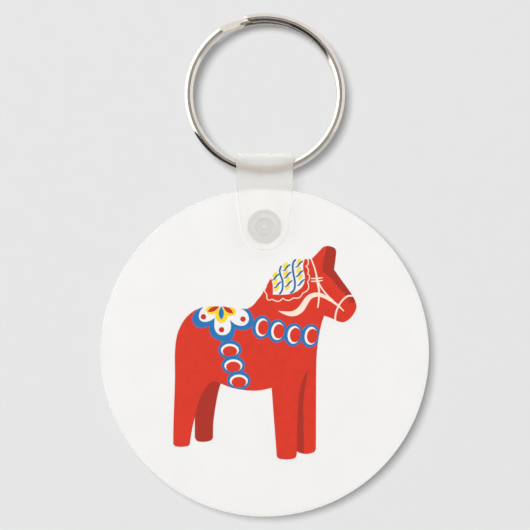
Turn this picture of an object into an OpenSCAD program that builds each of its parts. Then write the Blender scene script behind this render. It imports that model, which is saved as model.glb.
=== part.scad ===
// Round button keyring: a split ring, a snap strap and a flat white disc with a printed folk-art horse.
// Millimetres, +Z up, hanging from the ring. The origin is the ring's centre and the picture faces -Y.

/* [Button] */
// Diameter of the disc
disc_d = 57.15; // [50:0.05:64]
// Thickness of the disc
disc_t = 2.4; // [1.6:0.1:3.2]
// Chamfer round both edges of the disc
rim_chamfer = 0.25; // [0.1:0.05:0.5]
// Diameter of the hole for the strap's stud
hole_d = 5.7; // [5.5:0.1:7]
// From the disc's edge to the hole's centre
hole_inset = 6.7; // [6:0.1:8]
// Thickness of the white face label
label_t = 0.1; // [0.05:0.05:0.2]
// Margin between the label and the disc's edge
label_margin = 0.35; // [0.3:0.05:1]

/* [Split ring] */
// Outside diameter of the ring
ring_od = 28.1; // [26:0.1:34]
// Width of the wire along the ring's radius
wire_w = 1.6; // [1.2:0.1:2]
// Thickness of one turn of wire along the ring's axis
turn_t = 1.1; // [0.8:0.1:1.2]

/* [Snap strap] */
// Width of the strap where it wraps the ring
strap_w = 9.8; // [8:0.1:11]
// Thickness of the strap
strap_t = 0.65; // [0.5:0.05:1]
// From the ring's seat to the stud's centre
strap_drop = 10.36; // [10:0.02:14]
// Radius of the strap's round end
end_r = 4.12; // [3.8:0.02:4.5]
// Width of the strap where its round end begins to widen into the straight part
waist_w = 9.56; // [8.6:0.02:9.8]
// Height of that width above the stud's centre
waist_rise = 4.6; // [3:0.1:6]
// Diameter of the boss that turns in the disc's hole
boss_d = 5.3; // [4.6:0.1:5.3]
// Diameter of the snap stud
stud_d = 3.2; // [2.6:0.1:3.6]
// Diameter of the stud's head behind the strap
head_d = 4.6; // [4.2:0.1:5]

/* [Picture] */
// Thickness of the printed ink
ink_t = 0.04; // [0.02:0.01:0.08]
// Straight steps in each stretch of a drawn curve
curve_steps = 5; // [3:1:8]

/* [Hidden] */
$fn = 96;
disc_r = disc_d / 2;
ring_r = ring_od / 2;
bore_r = ring_r - wire_w;
ring_t = 2 * turn_t;
wire_chamfer = 0.2;
seam = 0.12;

// The wire curves up by sag across the strap's width, and the strap swings about the middle of that height.
sag = bore_r - sqrt(bore_r * bore_r - strap_w * strap_w / 4);
swing_z = sag / 2 - (bore_r + ring_r) / 2;
loop_r = norm([(wire_w + sag) / 2, turn_t]) + 0.05;
stud_z = swing_z - strap_drop;
disc_z = stud_z - (disc_r - hole_inset);

label_y = -disc_t / 2 - label_t;
ink_y = label_y - ink_t;
leaf_gap = 0.3;
leaf_y = disc_t / 2 + leaf_gap;
leaf_top = disc_z + disc_r + 0.1;
snap_play = 0.15;
head_t = 1.1;

RED = [0.87, 0.24, 0.18];
DARK_RED = [0.68, 0.2, 0.18];
BLUE = [0.15, 0.47, 0.72];
YELLOW = [0.94, 0.84, 0.2];
CREAM = [0.99, 0.94, 0.9];

// ---- Curves ----

// One point of a Catmull-Rom curve from b to c, with a and d as the neighbours.
function between(a, b, c, d, t) =
    (2 * b + (c - a) * t + (2 * a - 5 * b + 4 * c - d) * t * t + (3 * b - a - 3 * c + d) * t * t * t) / 2;

// A smooth curve through the points, with free ends.
function curve(p) = [
    for (i = [0 : len(p) - 2], k = [0 : curve_steps - 1])
        between(p[max(i - 1, 0)], p[i], p[i + 1], p[min(i + 2, len(p) - 1)], k / curve_steps),
    p[len(p) - 1]
];

// The direction of travel at point i of a line.
function heading(p, i) =
    let (d = p[min(i + 1, len(p) - 1)] - p[max(i - 1, 0)], n = norm([d.x, d.y]))
    [d.x / n, d.y / n];

// The point beside point i, at a share of the width that is its third value.
function beside(p, i, share) =
    let (h = heading(p, i), w = p[i][2])
    [p[i].x - h.y * w * share, p[i].y + h.x * w * share];

// The point just past an end of a line, which rounds a brush stroke off.
function tip(p, i, side) =
    let (h = heading(p, i))
    [p[i].x + side * h.x * p[i][2] / 2, p[i].y + side * h.y * p[i][2] / 2];

// A brush stroke through points that are each [x, y, width].
module stroke(points) {
    p = curve(points);
    last = len(p) - 1;
    polygon(concat(
        [tip(p, 0, -1)],
        [for (i = [0 : last]) beside(p, i, 0.5)],
        [tip(p, last, 1)],
        [for (i = [last : -1 : 0]) beside(p, i, -0.5)]
    ));
}

// A stroke of one width.
module line(points, width) {
    stroke([for (p = points) [p.x, p.y, width]]);
}

module oval(rx, ry) {
    polygon([for (a = [0 : 9 : 351]) [rx * cos(a), ry * sin(a)]]);
}

// A petal with two pointed ends, from the origin along +X.
module lens(length, width) {
    upper = curve([[0, 0], [length * 0.25, width * 0.42], [length * 0.6, width * 0.5], [length, 0]]);
    lower = curve([[length, 0], [length * 0.6, -width * 0.5], [length * 0.25, -width * 0.42], [0, 0]]);
    polygon(concat(upper, lower));
}

// ---- The picture, drawn about the disc's centre ----

thigh = [[-12.15, -11.2], [-11.6, -8.9], [-10.9, -7.1], [-9.9, -5.7], [-9, -5.05], [-8.3, -5.1],
         [-7.65, -5.4]];
far_shank = [[-7.65, -5.4], [-8.2, -7.4], [-8.7, -10.3], [-8.95, -12.5], [-9, -14.8]];
far_hoof = [[-9, -14.8], [-9.4, -15.3], [-10.6, -15.55], [-11.7, -15.4], [-12.15, -14.8]];

module horse_outline() {
    polygon(concat(
        curve([[-15.9, -15.7], [-15.85, -12], [-15.6, -5], [-15.6, 0], [-15.2, 3.1], [-14.1, 5.5],
               [-12.7, 6.95], [-11.4, 7.65], [-10.2, 8.05]]),
        curve([[-5, 8], [-4.1, 7.65], [-3.1, 7.6], [-2.1, 8.15], [-1.2, 9.2], [-0.5, 10.1], [0.15, 11.3],
               [1.05, 12.85], [2.6, 15.2], [4.6, 16.2], [7, 16.25]]),
        curve([[8.1, 16.2], [9.1, 17.2], [10.1, 18.25], [10.9, 18.5], [11.9, 18.3], [12.35, 17.85],
               [12.4, 17.1], [12.2, 15.5], [12.05, 14.4]]),
        curve([[15.15, 10.1], [15.7, 9], [15.95, 8], [15.6, 6.9], [14.7, 5.8], [13.7, 5.25], [12.8, 5.4],
               [12.1, 5.75]]),
        curve([[10.35, 6.4], [9.9, 5.1], [9.4, 2.8], [9.1, 0.4], [8.95, -3], [8.9, -16.7]]),
        curve([[8.9, -16.8], [8.5, -17.35], [7.3, -17.65], [6.1, -17.45], [5.6, -17.15]]),
        curve([[5.6, -17.3], [5.45, -18.1], [5, -18.45], [3.9, -18.6], [2.7, -18.5], [2.15, -18.15],
               [2.05, -17.4]]),
        curve([[1.2, -6.15], [-0.3, -6.5], [-1.9, -6.65], [-3.8, -6.5], [-5.8, -6.1], [-7.65, -5.4]]),
        curve(far_shank),
        curve(far_hoof),
        curve([[-12.15, -11.2], [-12.6, -13.2], [-12.9, -15], [-13, -15.8]]),
        curve([[-13, -15.9], [-13.35, -16.25], [-14.4, -16.4], [-15.5, -16.3], [-15.9, -15.9]])
    ));
}

// The darker red of the far legs, the ear's and face's front and the muzzle.
module shade_shapes() {
    polygon(concat(curve(far_shank), curve(far_hoof), curve(thigh)));
    polygon(concat(
        curve([[7.5, -3], [6.7, -4.5], [6.15, -6.4], [5.85, -8.6], [5.65, -12], [5.6, -18]]),
        curve([[6.8, -18], [6.75, -12], [6.7, -9.4], [6.95, -6.4], [7.3, -4.4], [7.5, -3]])
    ));
    polygon(concat(
        curve([[10.9, 19], [10.55, 17.3], [10.15, 15.8], [10, 14.5], [10.4, 13.8], [11.3, 13.1],
               [12.2, 12.1], [13.2, 10.8], [14.2, 9.95]]),
        [[15.6, 10.1], [13, 15], [13, 19]]
    ));
    translate([15.1, 9.1]) oval(0.85, 0.55);
}

// The white saddle cloth of the mane, with its upper edge past the neck.
module mane_cloth() {
    polygon(concat(
        curve([[0.4, 13.4], [1.05, 12.85], [1.35, 12], [1.42, 11.1], [1.4, 10.1]]),
        curve([[1.4, 10.05], [3.2, 10.03], [4.6, 10.2], [5.7, 10.7], [6.5, 11.4], [6.95, 12.4],
               [6.95, 13.4], [6.7, 14.5], [6.7, 15.3], [7, 16.4]]),
        [[4, 17.5], [1, 16]]
    ));
}

module mane_line_shapes() {
    line([[2.85, 15], [2.6, 14.2], [2.8, 13.3], [3.1, 12.4], [3.1, 11.2], [2.85, 10.5], [2.6, 10.2]], 0.3);
    line([[5.35, 16.1], [4.95, 15.6], [4.87, 14.7], [5, 13.6], [5.25, 12.2], [5.2, 11.2], [4.95, 10.7],
          [4.5, 10.35]], 0.32);
    for (at = [[1.25, 12.55], [1.6, 11.2], [3.15, 14.2], [3.35, 12.9], [3.5, 11.4], [5.35, 14.8],
               [5.4, 13.15], [5.65, 11.6]])
        translate(at) stroke([[0, 0, 0.12], [0.4, 0.2, 0.26], [0.8, 0.75, 0.3], [1.25, 1.08, 0.2]]);
}

module mane_yellow_shapes() {
    for (at = [[1.75, 13.45], [1.9, 12.3], [2.1, 11.15], [3.6, 15.15], [3.65, 13.8], [4, 12.55],
               [3.95, 11.35], [5.95, 15.75], [5.9, 14.35], [6.15, 13.05]])
        translate(at) rotate(-28) oval(0.32, 0.6);
}

// The white line of scallops that hems the mane, from the poll round to the withers.
scallop_w = 0.17;

module scallop_shapes() {
    line([[7.45, 16.3], [7.6, 15.7], [7.45, 15.2], [7.15, 15.02]], scallop_w);
    line([[7.15, 15.02], [7.5, 14.6], [7.6, 14.1], [7.45, 13.65]], scallop_w);
    line([[7.45, 13.65], [7.75, 13.4], [7.75, 12.8], [7.45, 12.2]], scallop_w);
    line([[7.45, 12.2], [7.65, 11.6], [7.5, 10.9], [7, 10.5], [6.6, 10.3]], scallop_w);
    line([[6.6, 10.3], [6.3, 9.8], [5.8, 9.45], [4.95, 9.5]], scallop_w);
    line([[4.95, 9.5], [4.5, 9.15], [3.9, 9.05], [3.1, 9.42]], scallop_w);
    line([[3.1, 9.42], [2.7, 9], [2.1, 8.9], [1.3, 9.25]], scallop_w);
    line([[1.3, 9.25], [0.75, 9.1], [0.4, 9.4], [0.35, 10.15]], scallop_w);
    line([[0.35, 10.15], [0.05, 10.5], [0, 10.9], [0.3, 11.5]], scallop_w);
}

module bridle_shapes() {
    // Cheek strap from the poll to the jaw
    stroke([[8.05, 16.3, 0.24], [8.6, 14.9, 0.24], [8.95, 13.6, 0.28], [9.15, 12.3, 0.36],
            [9.38, 11.2, 0.32], [9.45, 10.2, 0.3], [9.38, 8.9, 0.26], [9.22, 7.8, 0.2]]);
    // Two short bars of the brow band
    for (rise = [0, 0.48])
        translate([0, rise]) stroke([[8.1, 12.36, 0.18], [9.2, 12.4, 0.24], [10.05, 12.52, 0.14]]);
    // Thin strap from the brow to the rein
    line([[9.3, 12.3], [9.75, 11.4], [10.4, 10.5], [11.2, 9.6], [11.9, 9]], 0.25);
    // Broad rein from the withers, over the jaw and on to the muzzle
    stroke([[2.4, 7.18, 0.06], [3.3, 6.92, 0.45], [4.4, 6.72, 0.8], [5.4, 6.9, 1], [6.3, 7.55, 1.08],
            [7, 8.6, 1], [7.6, 9.45, 0.9], [8.4, 9.95, 0.78], [9.4, 10.05, 0.7], [10.4, 9.72, 0.62],
            [11.4, 9.15, 0.5], [12.3, 8.5, 0.4], [13, 7.95, 0.3], [13.75, 7.2, 0.16]]);
    // Nose band
    line([[15.3, 9.85], [14.6, 9.85], [13.9, 9.45], [13.3, 8.8], [12.85, 8.1], [12.5, 7.3], [12.3, 6.5],
          [12.25, 5.6]], 0.3);
}

// Beads of the breast band and of the girth, each open along its own +X, in the order they lap.
BEADS = [
    [[-6.05, 0.3], -90], [[-5.45, -2.4], -90], [[-4.5, -5.05], -90],
    [[-0.35, 4.35], -8], [[2.35, 3.7], -8], [[5.2, 3.04], -8], [[8.15, 2.87], -8]
];
GIRTH_BEADS = 3;

module at_bead(i) {
    translate(BEADS[i][0]) rotate(BEADS[i][1]) children();
}

module bead_rim() {
    translate([-0.2, 0]) oval(1.65, 2.03);
}

module bead_middle() {
    translate([-0.12, 0]) oval(1.09, 1.56);
}

module bead_heart() {
    translate([0.12, 0]) oval(0.93, 1.26);
}

// Cuts away what the next bead of the same band covers.
module under_next(i) {
    last = i == GIRTH_BEADS - 1 || i == len(BEADS) - 1;
    difference() {
        children();
        if (!last) at_bead(i + 1) bead_rim();
    }
}

module bead_blue_shapes() {
    for (i = [0 : len(BEADS) - 1])
        under_next(i) at_bead(i)
            difference() {
                bead_rim();
                bead_middle();
                bead_heart();
            }
}

module bead_white_shapes() {
    for (i = [0 : len(BEADS) - 1])
        under_next(i) at_bead(i)
            difference() {
                bead_middle();
                bead_heart();
            }
}

BACK_Z = 8.08;

// The whole saddle flower, closed above the horse's back.
module flower_field() {
    polygon(concat(
        curve([[-10.6, 7.95], [-11.6, 7.5], [-12.3, 6.8], [-12.62, 5.8], [-12.2, 4.75], [-11.3, 4.25],
               [-10.4, 4.3], [-9.65, 4.6]]),
        curve([[-9.65, 4.6], [-9.6, 3.7], [-9.2, 2.85], [-8.5, 2.35], [-7.4, 1.9], [-6.3, 1.95],
               [-5.6, 2.45], [-5.25, 3.2], [-5.12, 4.15]]),
        curve([[-5.12, 4.15], [-4.4, 3.92], [-3.5, 3.87], [-2.6, 4.2], [-2.05, 4.9], [-1.98, 5.9],
               [-2.4, 7], [-3, 7.5], [-4.1, 7.62]]),
        [[-4.2, 8.6], [-10.4, 8.6]]
    ));
}

// The white petals, left bare, with the space above them.
module flower_petals() {
    polygon(concat(
        curve([[-10.6, 7.95], [-11.15, 7.3], [-11.45, 6.5], [-11.35, 5.8], [-10.9, 5.4], [-10.2, 5.32],
               [-9.4, 5.55], [-8.7, 6]]),
        curve([[-8.7, 6], [-8.75, 5.2], [-8.75, 4.4], [-8.5, 3.65], [-7.95, 3.12], [-7.3, 3], [-6.6, 3.15],
               [-6.05, 3.7], [-5.85, 4.5], [-6, 5.65]]),
        curve([[-6, 5.65], [-5.3, 5], [-4.5, 4.67], [-3.7, 4.67], [-3.05, 5.05], [-2.72, 5.8], [-2.95, 6.7],
               [-3.45, 7.25], [-4.1, 7.62]]),
        [[-4.2, 9], [-10.4, 9]]
    ));
}

module flower_dots() {
    for (at = [[-10.65, 6.2], [-7.5, 3.95], [-3.78, 5.8]])
        translate(at) oval(0.47, 0.47);
}

module flower_red_leaves() {
    translate([-9.95, 7.08]) rotate(24) lens(2.3, 0.75);
    translate([-5.45, 6.78]) rotate(146) lens(2.2, 0.75);
}

module flower_blue_leaf() {
    translate([-7.55, 5.68]) rotate(90) lens(2.4, 0.86);
}

module flower_yellow_shapes() {
    translate([-9.2, 7.35]) oval(1.05, 0.72);
    translate([-7.5, 6.5]) oval(1.08, 1.34);
    translate([-6.05, 7.1]) oval(1.08, 0.76);
}

module below_back() {
    intersection() {
        children();
        translate([-16, -20]) square([32, 20 + BACK_Z]);
    }
}

// Stands a flat drawing up in front of the label as a layer of ink.
module print_ink() {
    translate([0, label_y, disc_z]) rotate([90, 0, 0]) linear_extrude(ink_t) children();
}

// ---- Printed nodes ----

module horse_red() {
    color(RED) print_ink() difference() {
        horse_outline();
        mane_cloth();
        flower_field();
        shade_shapes();
        bead_blue_shapes();
        bead_white_shapes();
        scallop_shapes();
        bridle_shapes();
    }
}

module horse_shade() {
    color(DARK_RED) print_ink() difference() {
        intersection() {
            horse_outline();
            shade_shapes();
        }
        bridle_shapes();
    }
}

module flower_blue() {
    color(BLUE) print_ink() {
        difference() {
            intersection() {
                flower_field();
                horse_outline();
            }
            flower_petals();
        }
        below_back() flower_blue_leaf();
    }
}

module flower_yellow() {
    color(YELLOW) print_ink() below_back() difference() {
        flower_yellow_shapes();
        flower_red_leaves();
        flower_blue_leaf();
    }
}

module flower_red() {
    color(RED) print_ink() {
        flower_dots();
        below_back() difference() {
            flower_red_leaves();
            flower_blue_leaf();
        }
    }
}

module bead_blue() {
    color(BLUE) print_ink() difference() {
        intersection() {
            horse_outline();
            bead_blue_shapes();
        }
        flower_field();
    }
}

module bead_white() {
    color(CREAM) print_ink() intersection() {
        horse_outline();
        bead_white_shapes();
    }
}

module mane_lines() {
    color(BLUE) print_ink() intersection() {
        mane_cloth();
        mane_line_shapes();
    }
}

module mane_yellow() {
    color(YELLOW) print_ink() difference() {
        mane_yellow_shapes();
        mane_line_shapes();
    }
}

module mane_scallop() {
    color(CREAM) print_ink() intersection() {
        horse_outline();
        scallop_shapes();
    }
}

module bridle() {
    color(CREAM) print_ink() intersection() {
        horse_outline();
        bridle_shapes();
    }
}

// ---- Solid pieces ----

module along_y(from, to, r) {
    translate([0, to, 0]) rotate([90, 0, 0]) cylinder(h = to - from, r = r);
}

// Two turns of wire, pressed together, with the seam between them as a groove.
module split_ring() {
    color("silver") rotate([90, 0, 0]) rotate_extrude() polygon([
        [bore_r, wire_chamfer - turn_t], [bore_r + wire_chamfer, -turn_t],
        [ring_r - wire_chamfer, -turn_t], [ring_r, wire_chamfer - turn_t],
        [ring_r, -seam], [ring_r - seam, 0], [ring_r, seam],
        [ring_r, turn_t - wire_chamfer], [ring_r - wire_chamfer, turn_t],
        [bore_r + wire_chamfer, turn_t], [bore_r, turn_t - wire_chamfer]
    ]);
}

// The strap's side view with a given offset from its inner surface, from the fold down to the leaves' ends.
module strap_side(grow) {
    below = leaf_top - swing_z;
    depth = stud_z - end_r - swing_z - 1;
    r = loop_r + grow;
    y = leaf_y + grow;
    rotate([90, 0, 90]) translate([0, swing_z, -strap_w]) linear_extrude(2 * strap_w) {
        circle(r);
        polygon([[-r, 0], [-y, below], [-y, depth], [y, depth], [y, below], [r, 0]]);
    }
}

// The strap's front view, with its tapered sides and round end.
module strap_front() {
    top = swing_z + loop_r + strap_t + 1;
    shoulder = leaf_top + 1;
    waist = stud_z + waist_rise;
    translate([0, 10, 0]) rotate([90, 0, 0]) linear_extrude(20) {
        polygon([[-strap_w / 2, top], [-strap_w / 2, shoulder], [-waist_w / 2, waist], [-end_r, stud_z],
                 [end_r, stud_z], [waist_w / 2, waist], [strap_w / 2, shoulder], [strap_w / 2, top]]);
        translate([0, stud_z]) circle(end_r);
    }
}

// A folded strap: the boss and stud stand on the front leaf, and the head is snapped through the back one.
module snap_strap() {
    outer = leaf_y + strap_t;
    color("gainsboro") {
        difference() {
            intersection() {
                strap_front();
                difference() {
                    strap_side(strap_t);
                    strap_side(0);
                }
            }
            translate([0, 0, stud_z]) along_y(0, 2 * outer, stud_d / 2 + snap_play);
        }
        translate([0, 0, stud_z]) {
            along_y(-leaf_y - strap_t / 2, disc_t / 2, boss_d / 2);
            along_y(0, outer + snap_play, stud_d / 2);
            translate([0, outer + snap_play, 0]) rotate([-90, 0, 0])
                cylinder(h = head_t, r1 = head_d / 2, r2 = stud_d / 2 - 0.2);
        }
    }
}

module button_disc() {
    half = disc_t / 2;
    color("white") translate([0, 0, disc_z]) difference() {
        rotate([90, 0, 0]) rotate_extrude() polygon([
            [0, -half], [disc_r - rim_chamfer, -half], [disc_r, rim_chamfer - half],
            [disc_r, half - rim_chamfer], [disc_r - rim_chamfer, half], [0, half]
        ]);
        translate([0, 0, stud_z - disc_z]) along_y(-disc_t, disc_t, hole_d / 2);
    }
}

module face_label() {
    color("white") difference() {
        translate([0, 0, disc_z]) along_y(label_y, -disc_t / 2, disc_r - label_margin);
        translate([0, 0, stud_z]) along_y(2 * label_y, 0, hole_d / 2 + label_t);
    }
}

split_ring();
snap_strap();
button_disc();
face_label();
horse_red();
horse_shade();
flower_blue();
flower_yellow();
flower_red();
bead_blue();
bead_white();
mane_lines();
mane_yellow();
mane_scallop();
bridle();
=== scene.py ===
# A button keyring's looks: nickel split ring, frosted snap strap and a white disc with a printed horse.
import math

import bmesh
import bpy
from mathutils import Matrix, Vector


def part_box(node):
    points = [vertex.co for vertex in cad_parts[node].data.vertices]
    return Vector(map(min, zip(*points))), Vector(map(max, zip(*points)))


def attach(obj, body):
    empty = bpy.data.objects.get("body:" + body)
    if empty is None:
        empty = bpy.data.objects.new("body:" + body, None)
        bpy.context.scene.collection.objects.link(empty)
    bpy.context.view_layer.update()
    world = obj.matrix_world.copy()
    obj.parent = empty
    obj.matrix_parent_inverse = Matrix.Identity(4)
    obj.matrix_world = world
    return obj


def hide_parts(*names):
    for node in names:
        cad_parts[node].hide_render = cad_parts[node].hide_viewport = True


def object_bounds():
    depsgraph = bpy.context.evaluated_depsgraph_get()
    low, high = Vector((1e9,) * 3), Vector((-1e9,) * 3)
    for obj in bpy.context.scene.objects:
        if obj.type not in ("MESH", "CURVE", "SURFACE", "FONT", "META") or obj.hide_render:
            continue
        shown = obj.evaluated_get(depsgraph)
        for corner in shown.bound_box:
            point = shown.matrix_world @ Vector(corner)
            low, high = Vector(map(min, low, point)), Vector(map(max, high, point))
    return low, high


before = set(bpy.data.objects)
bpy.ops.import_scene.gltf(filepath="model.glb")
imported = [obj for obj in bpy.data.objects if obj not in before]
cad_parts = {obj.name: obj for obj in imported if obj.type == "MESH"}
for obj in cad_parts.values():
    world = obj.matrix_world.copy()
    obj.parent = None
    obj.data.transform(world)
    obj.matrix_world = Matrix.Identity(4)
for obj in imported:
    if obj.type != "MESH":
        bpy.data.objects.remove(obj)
cad_low, cad_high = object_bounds()

MM = 0.001
RING_LOW, RING_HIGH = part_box("split_ring")
STRAP_LOW, STRAP_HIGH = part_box("snap_strap")
DISC_LOW, DISC_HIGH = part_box("button_disc")
LABEL_LOW, LABEL_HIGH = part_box("face_label")
INK_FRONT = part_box("horse_red")[0].y
DISC_CENTRE = (DISC_LOW + DISC_HIGH) / 2
DISC_R = (DISC_HIGH.x - DISC_LOW.x) / 2


# ---- Mesh helpers ----


def piece_from(name, verts, faces):
    """A smooth-shaded mesh object from plain lists of points and faces."""
    mesh = bpy.data.meshes.new(name)
    mesh.from_pydata([tuple(v) for v in verts], [], faces)
    mesh.validate()
    for polygon in mesh.polygons:
        polygon.use_smooth = True
    obj = bpy.data.objects.new(name, mesh)
    bpy.context.scene.collection.objects.link(obj)
    return obj


def tube(rings, closed):
    """Points and faces of a skin over rings of points.

    closed joins the last ring to the first; otherwise both ends are capped.
    """
    count = len(rings[0])
    verts = [p for ring in rings for p in ring]
    faces = []
    steps = len(rings) if closed else len(rings) - 1
    for i in range(steps):
        here = i * count
        there = ((i + 1) % len(rings)) * count
        for k in range(count):
            n = (k + 1) % count
            faces.append((here + k, here + n, there + n, there + k))
    if not closed:
        last = (len(rings) - 1) * count
        faces.append(tuple(reversed(range(count))))
        faces.append(tuple(last + k for k in range(count)))
    return verts, faces


def lathe_y(profile, centre_z, count=96):
    """Points and faces of a solid turned about the Y axis at height centre_z.

    profile holds (radius, y) pairs from axis to axis.
    """
    rings = []
    for r, y in profile:
        ring = []
        for k in range(count):
            a = 2 * math.pi * k / count
            ring.append((r * math.cos(a), y, centre_z + r * math.sin(a)))
        rings.append(ring)
    return tube(rings, closed=False)


def joined(parts):
    """One pair of lists from several (points, faces) pairs."""
    verts, faces = [], []
    for v, f in parts:
        base = len(verts)
        verts += list(v)
        faces += [tuple(base + i for i in face) for face in f]
    return verts, faces


def baked(obj, name, sharp_angle=40):
    """Replaces obj by its mesh with every modifier applied, with edges past sharp_angle degrees sharp."""
    depsgraph = bpy.context.evaluated_depsgraph_get()
    mesh = bpy.data.meshes.new_from_object(obj.evaluated_get(depsgraph))
    bpy.data.objects.remove(obj)
    mesh.name = name
    for polygon in mesh.polygons:
        polygon.use_smooth = True
    mesh.set_sharp_from_angle(angle=math.radians(sharp_angle))
    out = bpy.data.objects.new(name, mesh)
    bpy.context.scene.collection.objects.link(out)
    return out


def turned_outwards(obj):
    """Makes a mesh's faces all point outwards."""
    bm = bmesh.new()
    bm.from_mesh(obj.data)
    bmesh.ops.recalc_face_normals(bm, faces=bm.faces)
    bm.to_mesh(obj.data)
    bm.free()
    return obj


# ---- Materials ----


class Nodes:
    """A short way to build a Principled material's node tree, with object coordinates as its base."""

    def __init__(self, name):
        self.mat = bpy.data.materials.new(name)
        self.mat.use_nodes = True
        self.tree = self.mat.node_tree
        self.shader = self.tree.nodes["Principled BSDF"]
        self.coords = self.tree.nodes.new("ShaderNodeTexCoord").outputs["Object"]

    def add(self, kind, **values):
        node = self.tree.nodes.new(kind)
        for key, value in values.items():
            setattr(node, key, value)
        return node

    def link(self, source, target):
        self.tree.links.new(source, target)

    def math(self, operation, a, b=0.5):
        node = self.add("ShaderNodeMath", operation=operation)
        for socket, value in zip(node.inputs, (a, b)):
            if isinstance(value, (int, float)):
                socket.default_value = value
            else:
                self.link(value, socket)
        return node.outputs[0]

    def noise(self, size, detail=3.0, stretch=(1, 1, 1), coords=None):
        """A noise value with features of about size metres, drawn out by stretch.

        coords, if given, are used in place of the object's.
        """
        mapping = self.add("ShaderNodeMapping")
        mapping.inputs["Scale"].default_value = tuple(1 / (size * s) for s in stretch)
        self.link(coords or self.coords, mapping.inputs["Vector"])
        node = self.add("ShaderNodeTexNoise")
        node.inputs["Scale"].default_value = 1.0
        node.inputs["Detail"].default_value = detail
        self.link(mapping.outputs["Vector"], node.inputs["Vector"])
        return node.outputs["Fac"]

    def span(self, value, low, high, start=0.3, end=0.7):
        """value's range start..end mapped to low..high, smoothly."""
        node = self.add("ShaderNodeMapRange", interpolation_type="SMOOTHSTEP")
        self.link(value, node.inputs["Value"])
        node.inputs["From Min"].default_value = start
        node.inputs["From Max"].default_value = end
        node.inputs["To Min"].default_value = low
        node.inputs["To Max"].default_value = high
        return node.outputs["Result"]

    def blend(self, factor, one, two):
        """A colour between one and two, which are RGB tuples or sockets."""
        node = self.add("ShaderNodeMix", data_type="RGBA")
        self.link(factor, node.inputs["Factor"])
        for socket, value in ((node.inputs[6], one), (node.inputs[7], two)):
            if isinstance(value, tuple):
                socket.default_value = (*value, 1)
            else:
                self.link(value, socket)
        return node.outputs[2]

    def bump(self, height, distance):
        node = self.add("ShaderNodeBump")
        node.inputs["Distance"].default_value = distance
        node.inputs["Strength"].default_value = 1.0
        self.link(height, node.inputs["Height"])
        self.link(node.outputs["Normal"], self.shader.inputs["Normal"])

    def set(self, **values):
        """Plain values on the shader, by socket name with _ for a space."""
        for key, value in values.items():
            self.shader.inputs[key.replace("_", " ")].default_value = value


def srgb(r, g, b):
    """A linear RGB tuple from 0..255 display values."""

    def linear(v):
        v = v / 255
        return v / 12.92 if v <= 0.04045 else ((v + 0.055) / 1.055) ** 2.4

    return (linear(r), linear(g), linear(b))


def scaled(colour, share):
    return tuple(c * share for c in colour)


MOTTLE_SIZE = 1.6 * MM
GRAIN_SIZE = 0.16 * MM
INK_GRAIN_DEPTH = 2e-6
INK_SPECULAR = 0.15
INK_ROUGH = (0.42, 0.52)


def ink(name, colour, colour_share=0.94):
    """Printed ink: a slightly uneven tone, a fine grain and a satin finish."""
    n = Nodes(name)
    mottle = n.noise(MOTTLE_SIZE, detail=4.0)
    grain = n.noise(GRAIN_SIZE, detail=2.0)
    tone = n.blend(n.span(mottle, 0, 1), scaled(colour, colour_share), colour)
    speck = n.blend(n.span(grain, 0, 0.35, 0.55, 0.75), tone, scaled(colour, 1.04))
    n.link(speck, n.shader.inputs["Base Color"])
    n.link(n.span(mottle, *INK_ROUGH), n.shader.inputs["Roughness"])
    n.bump(grain, INK_GRAIN_DEPTH)
    n.set(Specular_IOR_Level=INK_SPECULAR)
    return n.mat


# Direction across the cheek's inner edge, in X and Z, away from the neck.
CHEEK_NORMAL = (0.712, 0.702)


def shade_ink(name, dark, light):
    """The shade ink, which fades into the body's red along the inner edge of the ear and face."""
    n = Nodes(name)
    mottle = n.noise(MOTTLE_SIZE, detail=4.0)
    grain = n.noise(GRAIN_SIZE, detail=2.0)
    split = n.add("ShaderNodeSeparateXYZ")
    n.link(n.coords, split.inputs["Vector"])
    x, z = split.outputs["X"], split.outputs["Z"]
    # Distances inside the shade from the ear's inner edge and from the cheek's.
    ear = n.math("SUBTRACT", x, 10.1 * MM)
    cheek_x = n.math("MULTIPLY", n.math("SUBTRACT", x, 10.3 * MM), CHEEK_NORMAL[0])
    cheek_z = n.math("MULTIPLY", n.math("SUBTRACT", z, DISC_CENTRE.z + 13.7 * MM), CHEEK_NORMAL[1])
    inside = n.math("MINIMUM", ear, n.math("ADD", cheek_x, cheek_z))
    fade = n.span(inside, 0.45, 1, -0.25 * MM, 0.3 * MM)
    legs = n.span(z, 1, 0, DISC_CENTRE.z, DISC_CENTRE.z + 4 * MM)
    nose = n.add("ShaderNodeVectorMath", operation="DISTANCE")
    n.link(n.coords, nose.inputs[0])
    nose.inputs[1].default_value = (15.3 * MM, INK_FRONT, DISC_CENTRE.z + 9.25 * MM)
    # The muzzle below the nose band fades out from a spot of its own.
    nose_fade = n.span(nose.outputs["Value"], 1.0, 0.25, 0.4 * MM, 1.0 * MM)
    below_band = n.span(z, 1, 0, DISC_CENTRE.z + 9.7 * MM, DISC_CENTRE.z + 9.75 * MM)
    face = n.add("ShaderNodeMix", data_type="FLOAT")
    n.link(below_band, face.inputs["Factor"])
    n.link(fade, face.inputs[2])
    n.link(nose_fade, face.inputs[3])
    depth = n.math("MAXIMUM", face.outputs[0], legs)
    tone = n.blend(depth, light, dark)
    uneven = n.blend(n.span(mottle, 0, 0.08), tone, scaled(dark, 0.7))
    n.link(uneven, n.shader.inputs["Base Color"])
    n.link(n.span(mottle, *INK_ROUGH), n.shader.inputs["Roughness"])
    n.bump(grain, INK_GRAIN_DEPTH)
    n.set(Specular_IOR_Level=INK_SPECULAR)
    return n.mat


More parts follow.
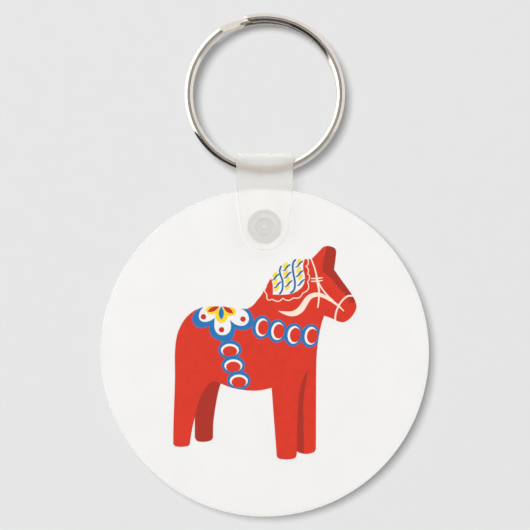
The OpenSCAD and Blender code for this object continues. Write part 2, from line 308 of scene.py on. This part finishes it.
def nickel():
    """Polished nickel plate with faint drawing lines along the wire."""
    n = Nodes("nickel_plate")
    split = n.add("ShaderNodeSeparateXYZ")
    n.link(n.coords, split.inputs["Vector"])
    angle = n.math("ARCTAN2", split.outputs["Z"], split.outputs["X"])
    radius = n.math(
        "SQRT",
        n.math(
            "ADD",
            n.math("MULTIPLY", split.outputs["X"], split.outputs["X"]),
            n.math("MULTIPLY", split.outputs["Z"], split.outputs["Z"]),
        ),
    )
    along = n.add("ShaderNodeCombineXYZ")
    n.link(n.math("MULTIPLY", angle, 13 * MM), along.inputs["X"])
    n.link(radius, along.inputs["Y"])
    n.link(split.outputs["Y"], along.inputs["Z"])
    lines = n.noise(0.09 * MM, 2.0, (60, 1, 1), along.outputs["Vector"])
    haze = n.noise(1.3 * MM, 4.0)
    n.link(
        n.blend(n.span(haze, 0, 1), (0.78, 0.72, 0.645), (0.82, 0.765, 0.69)),
        n.shader.inputs["Base Color"],
    )
    rough = n.math("ADD", n.span(haze, 0.07, 0.12), n.span(lines, 0.0, 0.05))
    n.link(rough, n.shader.inputs["Roughness"])
    n.bump(lines, 1.2e-6)
    n.set(Metallic=1.0)
    return n.mat


def frosted():
    """Milky, see-through strap plastic with a fine etched skin."""
    n = Nodes("strap_frosted_plastic")
    grain = n.noise(0.12 * MM, 3.0)
    cloud = n.noise(2.5 * MM, 3.0)
    tone = n.blend(n.span(cloud, 0, 1), (0.925, 0.917, 0.905), (0.937, 0.93, 0.918))
    # The stud's base colour is darkened as painted shade, for light lost down the thick plastic, except at
    # the gate mark in its middle; over the thick boss a little less light goes straight through.
    axis = n.add("ShaderNodeVectorMath", operation="MULTIPLY")
    n.link(n.coords, axis.inputs[0])
    axis.inputs[1].default_value = (1, 0, 1)
    away = n.add("ShaderNodeVectorMath", operation="DISTANCE")
    n.link(axis.outputs[0], away.inputs[0])
    away.inputs[1].default_value = (0, 0, STUD_Z)
    radius = away.outputs["Value"]
    within_stud = n.span(radius, 1, 0, 1.4 * MM, 1.75 * MM)
    past_gate = n.span(radius, 0, 1, 0.1 * MM, 0.5 * MM)
    stud = n.math("MULTIPLY", within_stud, past_gate)
    past_stud = n.span(radius, 0, 1, 1.4 * MM, 1.75 * MM)
    within_boss = n.span(radius, 1, 0, 2.6 * MM, 2.9 * MM)
    boss = n.math("MULTIPLY", past_stud, within_boss)
    # Painted shade: the stud's darker base colour stands in for shade in the thick plastic, not a different
    # colour of plastic.
    n.link(n.blend(stud, tone, (0.76, 0.745, 0.725)), n.shader.inputs["Base Color"])
    n.link(n.span(boss, 1.0, 0.94, 0.0, 1.0), n.shader.inputs["Transmission Weight"])
    n.link(n.span(cloud, 0.58, 0.64), n.shader.inputs["Roughness"])
    n.bump(grain, 4e-6)
    n.set(IOR=1.46)
    return n.mat


def white_plastic(name, colour, roughness):
    """White plastic or film with a faint orange-peel skin."""
    n = Nodes(name)
    cloud = n.noise(6 * MM, 3.0)
    peel = n.noise(0.5 * MM, 2.0)
    n.link(
        n.blend(n.span(cloud, 0, 1), scaled(colour, 0.985), colour),
        n.shader.inputs["Base Color"],
    )
    n.link(n.span(cloud, roughness - 0.03, roughness + 0.03), n.shader.inputs["Roughness"])
    n.bump(peel, 3e-6)
    n.set(Specular_IOR_Level=0.4)
    return n.mat


RED = srgb(211, 50, 30)
DARK_RED = srgb(167, 43, 29)
BLUE = srgb(30, 113, 176)
MANE_BLUE = srgb(24, 98, 146)
YELLOW = srgb(238, 208, 40)
SOFT_YELLOW = srgb(240, 214, 74)
FLOWER_RED = srgb(200, 43, 28)
CREAM = srgb(240, 218, 200)
BEAD_WHITE = srgb(236, 227, 217)

INKS = {
    "horse_red": ink("ink_red", RED),
    "horse_shade": shade_ink("ink_dark_red", DARK_RED, RED),
    "flower_blue": ink("ink_blue", BLUE),
    "flower_yellow": ink("ink_yellow", YELLOW),
    "flower_red": ink("ink_flower_red", FLOWER_RED),
    "bead_blue": ink("ink_bead_blue", BLUE),
    "bead_white": ink("ink_white", BEAD_WHITE, 0.985),
    "mane_lines": ink("ink_dark_blue", MANE_BLUE),
    "mane_yellow": ink("ink_soft_yellow", SOFT_YELLOW),
    "mane_scallop": ink("ink_cream", CREAM, 0.985),
    "bridle": ink("ink_bridle_cream", CREAM, 0.985),
}
for node, material in INKS.items():
    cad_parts[node].data.materials.clear()
    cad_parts[node].data.materials.append(material)


# ---- Split ring: one wire wound into two turns ----

WIRE_W = 1.48 * MM
WIRE_T = (RING_HIGH.y - RING_LOW.y) / 2
RING_R = RING_HIGH.x
BORE_R = RING_R - 1.6 * MM  # the CAD wire's width
WIRE_R = (RING_R + BORE_R) / 2
# Degrees: where the front end lies, where the wire crosses to the back, how far it runs, and one step of it.
FRONT_END = 102.8
CROSS_FROM, CROSS_TO = 336.0, 357.0
WIRE_LENGTH = 692.0
STEP = 1.6
FRONT_SPRING_OVER = 150
BACK_SPRING_OVER = 75
END_SLANT, END_SLANT_OVER = 2.6, 14
# How far the wire springs outwards at its front end, and inwards where it joins the back.
FRONT_SPRING = (RING_R - BORE_R - WIRE_W) / 2
BACK_SPRING = 0.3 * MM


def ease(t):
    t = min(max(t, 0.0), 1.0)
    return t * t * (3 - 2 * t)


def wire_centre(turned):
    """Radius and y of the wire's centre, turned degrees after its front end."""
    across = ease((turned - CROSS_FROM) / (CROSS_TO - CROSS_FROM))
    y = (2 * across - 1) * WIRE_T / 2
    if turned < CROSS_FROM:
        spring = FRONT_SPRING * (1 - ease(turned / FRONT_SPRING_OVER))
    else:
        spring = -BACK_SPRING * across * (1 - ease((turned - 360) / BACK_SPRING_OVER))
    return WIRE_R + spring, y


def wire_profile(count=44, power=2.1):
    """A rounded section of the wire: (outwards, along y), as shares of its half sizes."""
    out = []
    for k in range(count):
        a = 2 * math.pi * k / count
        c, s = math.cos(a), math.sin(a)
        out.append((math.copysign(abs(c) ** (2 / power), c), math.copysign(abs(s) ** (2 / power), s)))
    return out


def build_ring():
    """The wire swept round its two turns, with its ends rounded off and cut at a slant."""
    rounded_end = [(0, 0.8), (0.25, 0.93), (0.7, 1.0)]
    stations = list(rounded_end)
    turned = STEP
    while turned < WIRE_LENGTH - STEP:
        stations.append((turned, 1.0))
        turned += STEP
    stations += [(WIRE_LENGTH - t, size) for t, size in reversed(rounded_end)]
    rings = []
    for turned, size in stations:
        r, y = wire_centre(turned)
        near_end = min(turned, WIRE_LENGTH - turned)
        skew = END_SLANT * (1 - ease(near_end / END_SLANT_OVER))
        ring = []
        for outward, along in wire_profile():
            a = math.radians(FRONT_END - turned + skew * outward)
            radius = r + outward * size * WIRE_W / 2
            ring.append((radius * math.cos(a), y + along * size * WIRE_T / 2, radius * math.sin(a)))
        rings.append(ring)
    obj = piece_from("split_ring_wire", *tube(rings, closed=False))
    turned_outwards(obj)
    obj.data.set_sharp_from_angle(angle=math.radians(50))
    return obj


ring = build_ring()
ring.data.materials.append(nickel())
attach(ring, "ring")
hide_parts("split_ring")


# ---- Snap strap: a folded frosted strip with its stud, boss and head ----

STRAP_T = 0.65 * MM
STRAP_HALF = STRAP_HIGH.x
LOOP_MID = -STRAP_LOW.y - STRAP_T / 2
SWING_Z = STRAP_HIGH.z + STRAP_LOW.y
LEAF_GAP = 0.3 * MM
LEAF_MID = (DISC_HIGH.y - DISC_LOW.y) / 2 + LEAF_GAP + STRAP_T / 2
LEAF_TOP = DISC_HIGH.z + 0.1 * MM
HOLE_INSET = 6.7 * MM
STUD_Z = DISC_HIGH.z - HOLE_INSET
END_R = STUD_Z - STRAP_LOW.z
WAIST_HALF = 4.78 * MM
WAIST_Z = STUD_Z + 4.6 * MM
BOSS_R = 2.65 * MM
STUD_R = 1.6 * MM
HEAD_R = 2.3 * MM


def half_width(z):
    """Half the strap's width at height z: full at the fold, drawn in to the round end."""
    shoulder = LEAF_TOP + 1 * MM
    if z >= shoulder:
        return STRAP_HALF
    if z >= WAIST_Z:
        return STRAP_HALF + (WAIST_HALF - STRAP_HALF) * (shoulder - z) / (shoulder - WAIST_Z)
    if z >= STUD_Z:
        return WAIST_HALF + (END_R - WAIST_HALF) * (WAIST_Z - z) / (WAIST_Z - STUD_Z)
    return math.sqrt(max(END_R**2 - (STUD_Z - z) ** 2, 0))


def leaf_outline(side):
    """The flat leaf's outline from its top left corner, down round the end and up to its top right corner."""
    left = [(-half_width(z), z) for z in (LEAF_TOP, WAIST_Z, (WAIST_Z + STUD_Z) / 2)]
    end = []
    for k in range(49):
        a = math.pi + math.pi * k / 48
        end.append((END_R * math.cos(a), STUD_Z + END_R * math.sin(a)))
    right = [(-x, z) for x, z in reversed(left)]
    return [(x, side * LEAF_MID, z) for x, z in left + end + right]


def fold_path():
    """(y, z) points of the fold's middle surface, from the front leaf's top over the loop to the back's."""
    rise = []
    for k in range(1, 10):
        t = k / 9
        y = LEAF_MID + (LOOP_MID - LEAF_MID) * ease(t)
        rise.append((y, LEAF_TOP + (SWING_Z - LEAF_TOP) * t))
    path = [(-y, z) for y, z in rise]
    for k in range(1, 48):
        a = math.pi - math.pi * k / 48
        path.append((LOOP_MID * math.cos(a), SWING_Z + LOOP_MID * math.sin(a)))
    path += list(reversed(rise))
    return path


def build_strip():
    """The folded strip: two flat leaves joined by the fold, thickened and with its edges softened."""
    front, back = leaf_outline(-1), leaf_outline(1)
    path = fold_path()
    verts = front + back
    faces = [tuple(range(len(front)))]
    faces.append(tuple(reversed(range(len(front), len(front) + len(back)))))
    left, right = 0, len(front) - 1
    for y, z in path:
        new = len(verts)
        verts += [(-half_width(z), y, z), (half_width(z), y, z)]
        faces.append((left, right, new + 1, new))
        left, right = new, new + 1
    faces.append((left, right, len(front) + len(back) - 1, len(front)))
    strip = piece_from("strip", verts, faces)
    turned_outwards(strip)
    solid = strip.modifiers.new("solid", "SOLIDIFY")
    solid.thickness = STRAP_T
    solid.offset = 0
    solid.use_even_offset = True
    edge = strip.modifiers.new("edge", "BEVEL")
    edge.width = 0.16 * MM
    edge.segments = 3
    edge.limit_method = "ANGLE"
    edge.angle_limit = math.radians(50)
    return strip


def build_dish():
    """The hollow in the strap's front over the stud, with a gate mark in its middle."""
    front = -LEAF_MID - STRAP_T / 2
    # Radius and depth behind the strap's front, in millimetres.
    profile = [(0.02, 0.1), (0.26, 0.1), (0.42, 0.22), (1.32, 0.22), (1.55, 0.12), (1.66, -0.1), (0.02, -0.1)]
    points = [(r * MM, front + y * MM) for r, y in profile]
    return turned_outwards(piece_from("dish", *lathe_y(points, STUD_Z)))


def cut_or_join(obj, other, operation):
    """Adds an exact Boolean of obj with other."""
    step = obj.modifiers.new(operation.lower(), "BOOLEAN")
    step.operation = operation
    step.object = other
    step.solver = "EXACT"


def build_strap():
    """The strip fused with its boss, stud and head, and dished over the stud."""
    inner_front = -LEAF_MID + STRAP_T / 2
    disc_back = DISC_HIGH.y
    outer_back = LEAF_MID + STRAP_T / 2
    head_top = STRAP_HIGH.y
    into_leaf = 0.2 * MM
    boss = lathe_y(
        [
            (0.05 * MM, inner_front - into_leaf),
            (BOSS_R, inner_front - into_leaf),
            (BOSS_R, disc_back - 0.25 * MM),
            (BOSS_R - 0.08 * MM, disc_back - 0.08 * MM),
            (BOSS_R - 0.25 * MM, disc_back),
            (STUD_R + 0.15 * MM, disc_back),
            (STUD_R, disc_back + 0.15 * MM),
            (STUD_R, outer_back + 0.12 * MM),
            (HEAD_R - 0.12 * MM, outer_back + 0.15 * MM),
            (HEAD_R, outer_back + 0.25 * MM),
            (HEAD_R - 0.04 * MM, outer_back + 0.42 * MM),
            (HEAD_R - 0.3 * MM, head_top - 0.42 * MM),
            (HEAD_R - 0.62 * MM, head_top - 0.14 * MM),
            (HEAD_R - 0.95 * MM, head_top - 0.02 * MM),
            (0.95 * MM, head_top),
            (0.7 * MM, head_top - 0.06 * MM),
            (0.5 * MM, head_top - 0.3 * MM),
            (0.05 * MM, head_top - 0.34 * MM),
        ],
        STUD_Z,
    )
    stud = turned_outwards(piece_from("stud", *boss))
    strip = build_strip()
    dish = build_dish()
    cut_or_join(strip, stud, "UNION")
    cut_or_join(strip, dish, "DIFFERENCE")
    strap = baked(strip, "snap_strap_moulding", 35)
    bpy.data.objects.remove(dish)
    bpy.data.objects.remove(stud)
    return strap


strap = build_strap()
strap.data.materials.append(frosted())
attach(strap, "strap")
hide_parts("snap_strap")


# ---- Disc and its face label: round plates with an off-centre hole ----


def circle_at(centre_z, r, y, count):
    """A circle in the XZ plane at depth y."""
    out = []
    for k in range(count):
        a = 2 * math.pi * k / count
        out.append((r * math.cos(a), y, centre_z + r * math.sin(a)))
    return out


def plate(name, outer_r, hole_r, front, back, rim, lip, count=256):
    """A round plate with rounded outer edges and a hole with softened edges."""
    middle = DISC_CENTRE.z
    rounding = [math.radians(90 * k / 5) for k in range(6)]
    # Radius and depth inwards from the face, round a quarter circle, at the rim and at the hole's lip.
    outer = [(outer_r - rim + rim * math.sin(a), rim * (1 - math.cos(a))) for a in rounding]
    inner = [(hole_r + lip - lip * math.sin(a), lip * (1 - math.cos(a))) for a in rounding]
    rings = []
    rings += [circle_at(middle, r, front + deep, count) for r, deep in outer]
    rings += [circle_at(middle, r, back - deep, count) for r, deep in reversed(outer)]
    rings += [circle_at(STUD_Z, r, back - deep, count) for r, deep in inner]
    rings += [circle_at(STUD_Z, r, front + deep, count) for r, deep in reversed(inner)]
    obj = turned_outwards(piece_from(name, *tube(rings, closed=True)))
    obj.data.set_sharp_from_angle(angle=math.radians(30))
    return obj


HOLE_R = 2.85 * MM

disc = plate("disc_blank", DISC_R, HOLE_R, DISC_LOW.y, DISC_HIGH.y, 0.25 * MM, 0.1 * MM)
disc.data.materials.append(white_plastic("disc_white_plastic", srgb(232, 231, 229), 0.32))
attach(disc, "button")
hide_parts("button_disc")

label_r = (LABEL_HIGH.x - LABEL_LOW.x) / 2
label = plate("label_film", label_r, HOLE_R + 0.1 * MM, LABEL_LOW.y, LABEL_HIGH.y, 0.045 * MM, 0.03 * MM)
label.data.materials.append(white_plastic("label_satin_film", srgb(231, 230, 228), 0.42))
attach(label, "button")
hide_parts("face_label")


# ---- Stage, lights and camera ----

CENTRE = Vector((0, 0, -29.78 * MM))

FLOOR_TONE = 0.0289
FLOOR_HALF = 0.5
# Room behind the floor that the swung disc may take up.
SWING_REACH = 0.09
BEHIND_RAYS = 16


def shadow_floor():
    """The pale surface that the keyring lies on.

    A dark tone under strong lights of its own keeps light thrown on by the object out of its shadows.
    """
    y = cad_high.y + 0.05 * MM
    corners = [(-1, -1), (1, -1), (1, 1), (-1, 1)]
    obj = piece_from(
        "floor",
        [(side * FLOOR_HALF, y, rise * FLOOR_HALF) for side, rise in corners],
        [(0, 1, 2, 3)],
    )
    n = Nodes("floor_paper")
    n.link(
        n.blend(n.span(n.noise(3 * MM), 0, 1), (0.995 * FLOOR_TONE,) * 3, (1.005 * FLOOR_TONE,) * 3),
        n.shader.inputs["Base Color"],
    )
    n.set(Roughness=1.0, Specular_IOR_Level=0.0)
    # The floor is there from the front only, so that the keyring can be seen from behind too, and it
    # opens wherever something lies behind it, which is the disc once it has swung through.
    front = n.math("SUBTRACT", 1.0, n.add("ShaderNodeNewGeometry").outputs["Backfacing"])
    behind = n.add("ShaderNodeAmbientOcclusion", inside=True, samples=BEHIND_RAYS)
    behind.inputs["Distance"].default_value = SWING_REACH
    clear = n.math("GREATER_THAN", behind.outputs["AO"], 1 - 0.5 / BEHIND_RAYS)
    n.link(n.math("MULTIPLY", front, clear), n.shader.inputs["Alpha"])
    obj.data.materials.append(n.mat)
    obj.visible_diffuse = False
    obj.visible_glossy = False
    obj.visible_transmission = False
    obj.visible_shadow = False
    return obj


floor = shadow_floor()

world = bpy.data.worlds.new("studio")
bpy.context.scene.world = world
world.use_nodes = True
world.node_tree.nodes["Background"].inputs["Color"].default_value = (*srgb(231, 231, 231), 1)
world.cycles_visibility.diffuse = False
world.cycles_visibility.glossy = False


def area_light(name, direction, distance, width, height, radiance, shape="RECTANGLE"):
    """An area light that faces the object from a direction.

    height runs along Y for a light at the object's side.
    """
    data = bpy.data.lights.new(name, "AREA")
    data.shape = shape
    data.size = width
    data.size_y = height
    face = width * height * (1 if shape == "RECTANGLE" else math.pi / 4)
    data.energy = radiance * math.pi * face
    obj = bpy.data.objects.new(name, data)
    bpy.context.scene.collection.objects.link(obj)
    away = Vector(direction).normalized()
    up = Vector((0, 1, 0)) if abs(away.y) < 0.5 else Vector((0, 0, 1))
    right = up.cross(away).normalized()
    basis = Matrix((right, away.cross(right), away)).transposed()
    obj.rotation_mode = "QUATERNION"
    obj.rotation_quaternion = basis.to_quaternion()
    obj.location = CENTRE + away * distance
    obj.visible_camera = False
    return obj


def linked_group(name, state, obj):
    """A collection for light linking: obj only (INCLUDE), or everything but obj (EXCLUDE)."""
    group = bpy.data.collections.new(name)
    group.objects.link(obj)
    group.collection_objects[0].light_linking.link_state = state
    return group


def lights(light, state, obj):
    """Makes the light fall on obj only (INCLUDE), or on everything but obj (EXCLUDE)."""
    light.light_linking.receiver_collection = linked_group(light.name + "_lights", state, obj)


def passes(light, obj):
    """Lets the light's direct rays through obj."""
    light.light_linking.blocker_collection = linked_group(light.name + "_blockers", "EXCLUDE", obj)


# Soft white light from all round, which gives the object's colours and shows in no reflection.
BOX = 0.8
SIDES = {
    "tent_front": ((0, -1, 0), 1.0),
    "tent_back": ((0, 1, 0), 0.85),
    "tent_left": ((-1, 0, 0), 1.0),
    "tent_right": ((1, 0, 0), 1.0),
    "tent_top": ((0, 0, 1), 1.0),
    "tent_bottom": ((0, 0, -1), 0.95),
}
for side, (direction, radiance) in SIDES.items():
    wall = area_light(side, direction, BOX, 2 * BOX, 2 * BOX, radiance)
    wall.visible_glossy = False
    wall.visible_transmission = False
    lights(wall, "EXCLUDE", floor)
    if side in ("tent_front", "tent_back"):
        passes(wall, strap)

# Cards seen only in reflections and through the strap: eight round the sides from the right by the top,
# one behind the camera and one behind the object.
CARD_FAR = 0.75
CARD_W = 2 * CARD_FAR * math.tan(math.pi / 8)
CARD_DEPTH = 2.4
CARD_SET_FORWARD = 0.65
SIDE_CARDS = (0.95, 0.9, 0.92, 1.5, 1.7, 0.03, 0.1, 0.66)
cards = []
for k, radiance in enumerate(SIDE_CARDS):
    a = k * math.pi / 4
    card = area_light(f"card_{k}", (math.cos(a), 0, math.sin(a)), CARD_FAR, CARD_W, CARD_DEPTH, radiance)
    card.location.y -= CARD_SET_FORWARD
    cards.append(card)
cards.append(area_light("card_front", (0, -1, 0), 1.7, 0.8, 0.8, 0.42))
cards.append(area_light("card_back", (0, 1, 0), 0.55, 1.6, 1.6, 0.7))
for card in cards:
    card.visible_transmission = False
cards.append(area_light("seen_through_back", (0, 1, 0), 0.6, 1.6, 1.6, 0.08))
cards.append(area_light("seen_through_front", (0, -1, 0), 0.6, 1.6, 1.6, 0.08))
for card in cards[-2:]:
    card.visible_glossy = False
for card in cards:
    card.visible_diffuse = False
    lights(card, "EXCLUDE", floor)

# The key light: its tilt off the camera's axis, its half width as an angle, and its bearing round the axis.
TILT = math.radians(17)
KEY_SPREAD = math.radians(12)
KEY_FAR = 1.2
KEY_CLOCK = math.radians(140)
toward_key = (math.sin(TILT) * math.cos(KEY_CLOCK), -math.cos(TILT), math.sin(TILT) * math.sin(KEY_CLOCK))
key_size = 2 * KEY_FAR * math.tan(KEY_SPREAD)
key = area_light("key", toward_key, KEY_FAR, key_size, key_size, 3.4, shape="DISK")
key.visible_glossy = False
key.visible_transmission = False
lights(key, "EXCLUDE", floor)
# A bright strip above picks out the strap's fold.
fold_glint = area_light("fold_glint", (-0.1, 0.45, 1), 0.5, 0.7, 0.5, 2.9)
lights(fold_glint, "INCLUDE", strap)
fold_glint.visible_diffuse = False
fold_glint.visible_transmission = False

# The floor's own lights come the key's way from far off, and the fill makes no shadow.
FLOOR_FAR = 5.0
floor_size = 2 * FLOOR_FAR * math.tan(KEY_SPREAD)
floor_key = area_light("floor_key", toward_key, FLOOR_FAR, floor_size, floor_size, 130.0, shape="DISK")
# The see-through strap casts only a part of the shadow that the rest does.
floor_key_past_strap = area_light(
    "floor_key_past_strap", toward_key, FLOOR_FAR + 0.05, floor_size, floor_size, 285.0, shape="DISK"
)
passes(floor_key_past_strap, strap)
floor_fill = area_light(
    "floor_fill", toward_key, FLOOR_FAR + 0.1, floor_size, floor_size, 265.0, shape="DISK"
)
for light in (floor_key, floor_key_past_strap, floor_fill):
    lights(light, "INCLUDE", floor)
floor_fill.data.use_shadow = False

camera_data = bpy.data.cameras.new("camera")
camera_data.sensor_width = 36.0
camera_data.lens = 155.8
camera = bpy.data.objects.new("camera", camera_data)
bpy.context.scene.collection.objects.link(camera)
camera.location = (0.05 * MM, -400 * MM, CENTRE.z)
camera.rotation_euler = (math.pi / 2, 0, 0)
bpy.context.scene.camera = camera
bpy.context.scene.view_settings.view_transform = "Standard"
